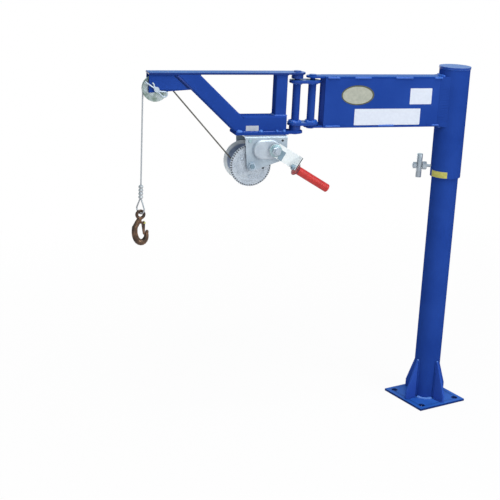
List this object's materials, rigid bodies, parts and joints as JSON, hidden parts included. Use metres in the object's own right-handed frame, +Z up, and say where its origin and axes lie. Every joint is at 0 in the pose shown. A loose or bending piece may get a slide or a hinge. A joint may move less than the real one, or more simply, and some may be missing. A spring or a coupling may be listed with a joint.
{
  "type": "jib crane",
  "caption": "Bolt-down jib crane: swivelling box arm on a post, double-pivot link, folding outer jib with a geared hand winch, wire rope over a sheave and a latched hook.",
  "frame": {"origin": "centre of the base plate's underside, on the post axis", "axes": "+Z up along the post; the arm and jib lie along -X in the picture's pose; -Y is the side with the crank"},
  "size_m": [1.194, 0.245, 1.1745],
  "materials": {
    "blue_paint": "smooth blue powder coat with weld beads under it",
    "zinc_plate": "bright zinc plate",
    "bright_steel": "zinc plated, slightly dull",
    "wire_rope": "stranded galvanised wire",
    "red_grip": "moulded red plastic",
    "brown_steel": "brown lacquered forging"
  },
  "bodies": {
    "post": {"base_plate": "blue_paint", "post_tube": "blue_paint", "base_gusset_left": "blue_paint", "base_gusset_front": "blue_paint", "base_gusset_right": "blue_paint", "base_gusset_back": "blue_paint"},
    "arm": {"sleeve_tube": "blue_paint", "sleeve_cap": "blue_paint", "arm_top_plate": "blue_paint", "arm_bottom_plate": "blue_paint", "arm_front_plate": "blue_paint", "arm_back_plate": "blue_paint", "arm_end_plate": "blue_paint", "arm_hinge_pin": "blue_paint"},
    "clamp": {"clamp_screw": "zinc_plate", "clamp_bar": "zinc_plate"},
    "link": {"link_top_plate": "blue_paint", "link_bottom_plate": "blue_paint", "link_arm_barrel": "blue_paint", "link_jib_barrel": "blue_paint"},
    "jib": {"jib_top_flange": "blue_paint", "jib_diagonal_tube": "blue_paint", "jib_bottom_tube": "blue_paint", "jib_upright_tube": "blue_paint", "jib_front_cheek": "blue_paint", "jib_back_cheek": "blue_paint", "jib_bottom_plate": "blue_paint", "jib_upper_collar": "blue_paint", "jib_lower_collar": "blue_paint", "jib_hinge_pin": "blue_paint", "sheave_axle": "bright_steel", "winch_frame": "zinc_plate", "winch_cover": "zinc_plate", "winch_axle": "zinc_plate", "rope_run": "wire_rope", "rope_fall": "wire_rope"},
    "drum": {"drum_gear": "zinc_plate", "drum_core": "zinc_plate", "rope_wraps": "wire_rope"},
    "crank": {"crank_shaft": "zinc_plate", "crank_arm": "zinc_plate", "crank_grip": "red_grip"},
    "sheave": {"sheave": "bright_steel"},
    "hook": {"rope_ferrule": "wire_rope", "rope_eye": "wire_rope", "hook_body": "brown_steel"},
    "latch": {"hook_latch": "brown_steel"}
  },
  "joints": [
    {"name": "post_swivel", "type": "hinge", "parent": "post", "child": "arm", "pos_m": [0, 0, 1.168], "axis": [0, 0, 1], "continuous": true},
    {"name": "clamp_turn", "type": "hinge", "parent": "arm", "child": "clamp", "pos_m": [0, 0, 0.838], "axis": [-0.9659, 0.2588, 0], "range_deg": [-180, 180]},
    {"name": "link_hinge", "type": "hinge", "parent": "arm", "child": "link", "pos_m": [-0.496, 0, 1.061], "axis": [0, 0, 1], "range_deg": [-80, 80]},
    {"name": "jib_hinge", "type": "hinge", "parent": "link", "child": "jib", "pos_m": [-0.548, 0, 1.061], "axis": [0, 0, 1], "range_deg": [-80, 80]},
    {"name": "drum_spin", "type": "hinge", "parent": "jib", "child": "drum", "pos_m": [-0.7036, 0, 0.8665], "axis": [0, -1, 0], "range_deg": [0, 374]},
    {"name": "crank_spin", "type": "hinge", "parent": "jib", "child": "crank", "pos_m": [-0.63326, 0, 0.91855], "axis": [0, -1, 0], "range_deg": [-1082, 2]},
    {"name": "sheave_spin", "type": "hinge", "parent": "jib", "child": "sheave", "pos_m": [-1.007, 0, 1.1035], "axis": [0, 1, 0], "range_deg": [-2, 302]},
    {"name": "hook_hoist", "type": "slide", "parent": "jib", "child": "hook", "axis": [0, 0, 1], "range_m": [-0.001, 0.197], "deforming": ["rope_fall"]},
    {"name": "latch_swing", "type": "hinge", "parent": "hook", "child": "latch", "pos_m": [-1.0316, 0, 0.68], "axis": [0, 1, 0], "range_deg": [0, 20], "stiffness_Nm_per_rad": 0.05, "springref_deg": -5.73}
  ],
  "couplings": [
    {"joint": "crank_spin", "follows": "drum_spin", "ratio": -2.8889},
    {"joint": "sheave_spin", "follows": "drum_spin", "ratio": 0.79787},
    {"joint": "hook_hoist", "follows": "drum_spin", "m_per_rad": 0.03}
  ]
}
